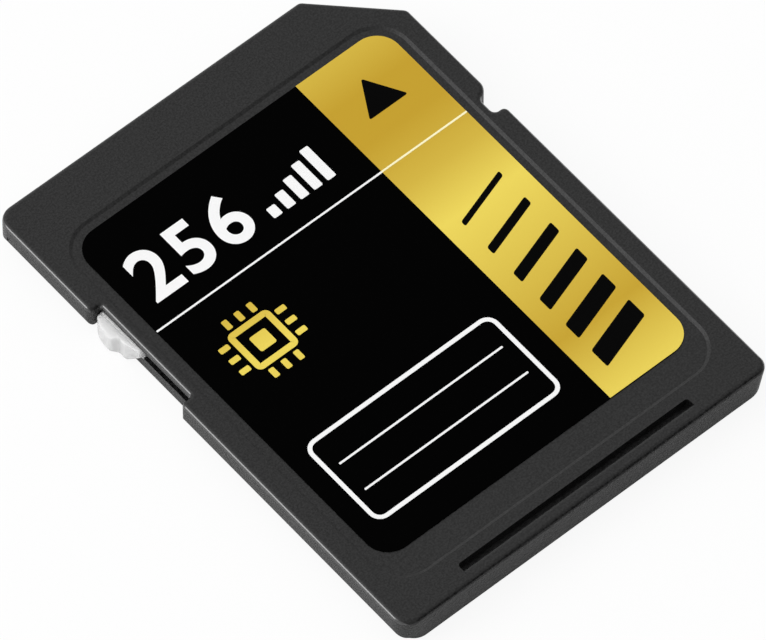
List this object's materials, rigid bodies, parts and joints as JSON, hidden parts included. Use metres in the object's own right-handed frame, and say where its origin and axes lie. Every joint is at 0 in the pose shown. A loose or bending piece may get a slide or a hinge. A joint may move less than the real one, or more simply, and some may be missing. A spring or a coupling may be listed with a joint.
{
  "type": "sd memory card",
  "caption": "Flat black memory card with a cut corner, side rails, a sliding white lock, a recessed black and gold label and gold contacts behind ribs on the back.",
  "frame": {"origin": "centre of the back face, which the card lies on", "axes": "+Y towards the contact end, +Z out of the label side, +X to the right when the label is read with the contact end up"},
  "size_m": [0.024, 0.032, 0.0021],
  "materials": {
    "cover_plastic": "fine moulded grain",
    "lock_plastic": "smooth white",
    "label_black": "satin black print",
    "gold_foil": "brushed gold foil",
    "board_mask": "green solder mask",
    "contact_gold": "gold plate",
    "package_black": "moulded epoxy",
    "capacitor_ceramic": "fired ceramic",
    "resistor_ceramic": "coated ceramic"
  },
  "bodies": {
    "card": {"front_cover": "cover_plastic", "rear_cover": "cover_plastic", "label_film": "label_black", "gold_foil": "gold_foil", "circuit_board": "board_mask", "flash_package": "package_black", "controller_package": "package_black", "contact_pad_01": "contact_gold", "contact_pad_02": "contact_gold", "contact_pad_03": "contact_gold", "contact_pad_04": "contact_gold", "contact_pad_05": "contact_gold", "contact_pad_06": "contact_gold", "contact_pad_07": "contact_gold", "contact_pad_08": "contact_gold", "contact_pad_09": "contact_gold", "contact_pad_10": "contact_gold", "contact_pad_11": "contact_gold", "contact_pad_12": "contact_gold", "contact_pad_13": "contact_gold", "contact_pad_14": "contact_gold", "contact_pad_15": "contact_gold", "contact_pad_16": "contact_gold", "contact_pad_17": "contact_gold", "capacitor_1": "capacitor_ceramic", "capacitor_2": "capacitor_ceramic", "capacitor_3": "capacitor_ceramic", "capacitor_4": "capacitor_ceramic", "capacitor_5": "capacitor_ceramic", "capacitor_6": "capacitor_ceramic", "capacitor_7": "capacitor_ceramic", "capacitor_8": "capacitor_ceramic", "resistor_1": "resistor_ceramic", "resistor_2": "resistor_ceramic", "resistor_3": "resistor_ceramic", "resistor_4": "resistor_ceramic", "resistor_5": "resistor_ceramic", "resistor_6": "resistor_ceramic", "resistor_7": "resistor_ceramic", "resistor_8": "resistor_ceramic"},
    "lock": {"lock_slider": "lock_plastic"}
  },
  "joints": [
    {"name": "lock_slide", "type": "slide", "parent": "card", "child": "lock", "axis": [0, -1, 0], "range_m": [0, 0.0037]}
  ]
}
